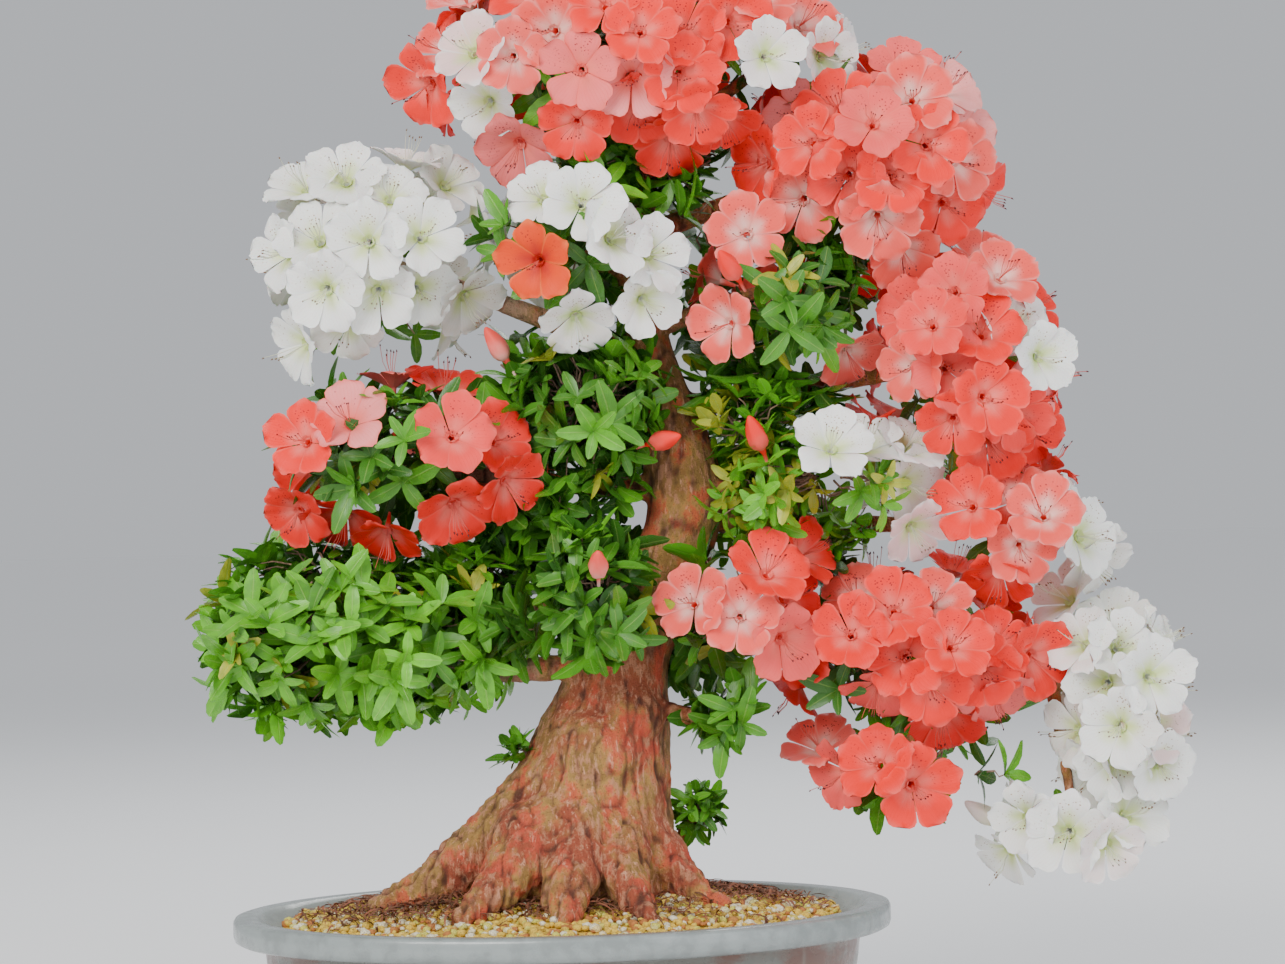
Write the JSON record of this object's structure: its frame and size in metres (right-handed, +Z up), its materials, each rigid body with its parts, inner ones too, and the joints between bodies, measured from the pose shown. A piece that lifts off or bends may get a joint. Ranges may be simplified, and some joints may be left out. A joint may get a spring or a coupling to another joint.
{
  "type": "flowering bonsai tree in an oval pot",
  "caption": "Flowering azalea bonsai with a flared, rooted trunk, leafy sprays and bunches of red, pink and white blooms, in an oval glazed pot",
  "frame": {"origin": "the middle of the pad under the pot's base, in the plane that the pot stands on", "axes": "+Z up the trunk, +X towards the long, drooping right-hand branch, -Y towards the viewer"},
  "size_m": [0.6882, 0.3286, 0.7514],
  "materials": {
    "glaze": "mottled grey-green and brown glaze",
    "gravel": "small yellow and cream grains",
    "bark": "flaky reddish brown bark",
    "leaf": "glossy green leaf",
    "coral_petal": "soft petal",
    "pink_petal": "soft petal",
    "orange_petal": "soft petal",
    "white_petal": "soft petal"
  },
  "bodies": {
    "root": {"pot": "glaze", "soil": "gravel", "trunk": "bark", "leaves_low_left": "leaf", "leaves_middle_left": "leaf", "leaves_upper_left": "leaf", "leaves_upper_middle": "leaf", "leaves_crown": "leaf", "leaves_right_top": "leaf", "leaves_right_inner": "leaf", "leaves_right_middle": "leaf", "leaves_right_leafy": "leaf", "leaves_right_low": "leaf", "leaves_low_right": "leaf", "leaves_low_right_fork": "leaf", "leaves_under_right": "leaf", "leaves_cascade": "leaf", "leaves_cascade_foot": "leaf", "leaves_inner_leafy": "leaf", "leaves_front_leafy": "leaf", "leaves_first_right": "leaf", "leaves_root_sprout": "leaf", "coral_crown": "coral_petal", "coral_crown_2": "coral_petal", "coral_low_right": "coral_petal", "coral_low_right_fork": "coral_petal", "coral_middle_left": "coral_petal", "coral_right_low": "coral_petal", "coral_right_middle": "coral_petal", "coral_right_top": "coral_petal", "coral_under_right": "coral_petal", "orange_upper_middle": "orange_petal", "pink_crown": "pink_petal", "pink_crown_2": "pink_petal", "pink_crown_3": "pink_petal", "pink_low_right": "pink_petal", "pink_low_right_fork": "pink_petal", "pink_right_inner": "pink_petal", "pink_right_low": "pink_petal", "pink_right_middle": "pink_petal", "pink_right_top": "pink_petal", "pink_under_right": "pink_petal", "white_cascade": "white_petal", "white_cascade_foot": "white_petal", "white_crown": "white_petal", "white_crown_2": "white_petal", "white_crown_3": "white_petal", "white_crown_4": "white_petal", "white_right_leafy": "white_petal", "white_right_low": "white_petal", "white_right_middle": "white_petal", "white_upper_left": "white_petal", "white_upper_middle": "white_petal"}
  },
  "joints": []
}
